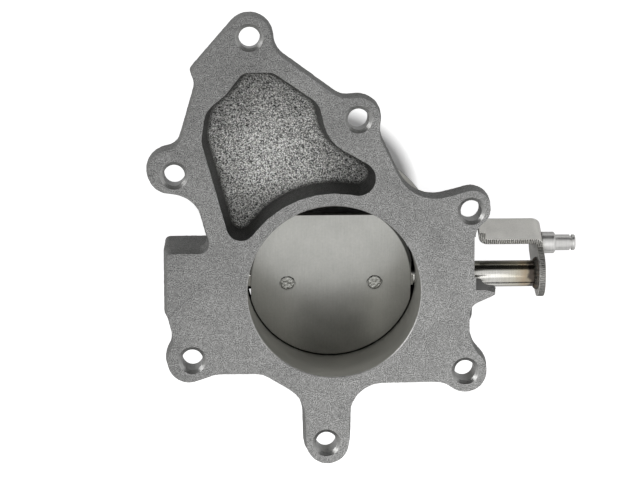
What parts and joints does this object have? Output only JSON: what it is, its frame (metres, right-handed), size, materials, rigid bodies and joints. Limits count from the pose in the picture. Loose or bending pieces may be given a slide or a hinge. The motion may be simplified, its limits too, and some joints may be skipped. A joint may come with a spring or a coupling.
{
  "type": "exhaust pipe adapter",
  "caption": "Cast exhaust outlet adapter with a lugged inlet flange, a pocket, a round gas bore closed by a butterfly plate on a cross shaft, a bent lever with a clevis stud, and a clamp lip.",
  "frame": {"origin": "centre of the outlet mouth, on the outlet face", "axes": "+Z along the gas bore towards the inlet flange, +X along the valve shaft towards the lever, +Y towards the pocket"},
  "size_m": [0.1955, 0.2008, 0.08],
  "materials": {
    "casting": "cast skin with machined faces",
    "plate": "satin",
    "shaft": "ground, heat-tinted by the weld",
    "screw": "peened ends",
    "bushing": "sintered",
    "ring": "ground",
    "plug": "pressed sheet",
    "lever": "satin with sheared edges",
    "weld": "dark weld bead",
    "stud": "turned"
  },
  "bodies": {
    "casting": {"housing": "casting", "blind_end_bushing": "bushing", "drive_end_bushing": "bushing", "expansion_plug": "plug"},
    "valve": {"butterfly_plate": "plate", "butterfly_shaft": "shaft", "plate_screw_left": "screw", "plate_screw_right": "screw", "seal_ring_inner": "ring", "seal_ring_outer": "ring", "lever": "lever", "lever_weld": "weld", "clevis_stud": "stud"}
  },
  "joints": [
    {"name": "butterfly_turn", "type": "hinge", "parent": "casting", "child": "valve", "pos_m": [0, 0, 0.0386], "axis": [1, 0, 0], "range_deg": [0, 70]}
  ]
}
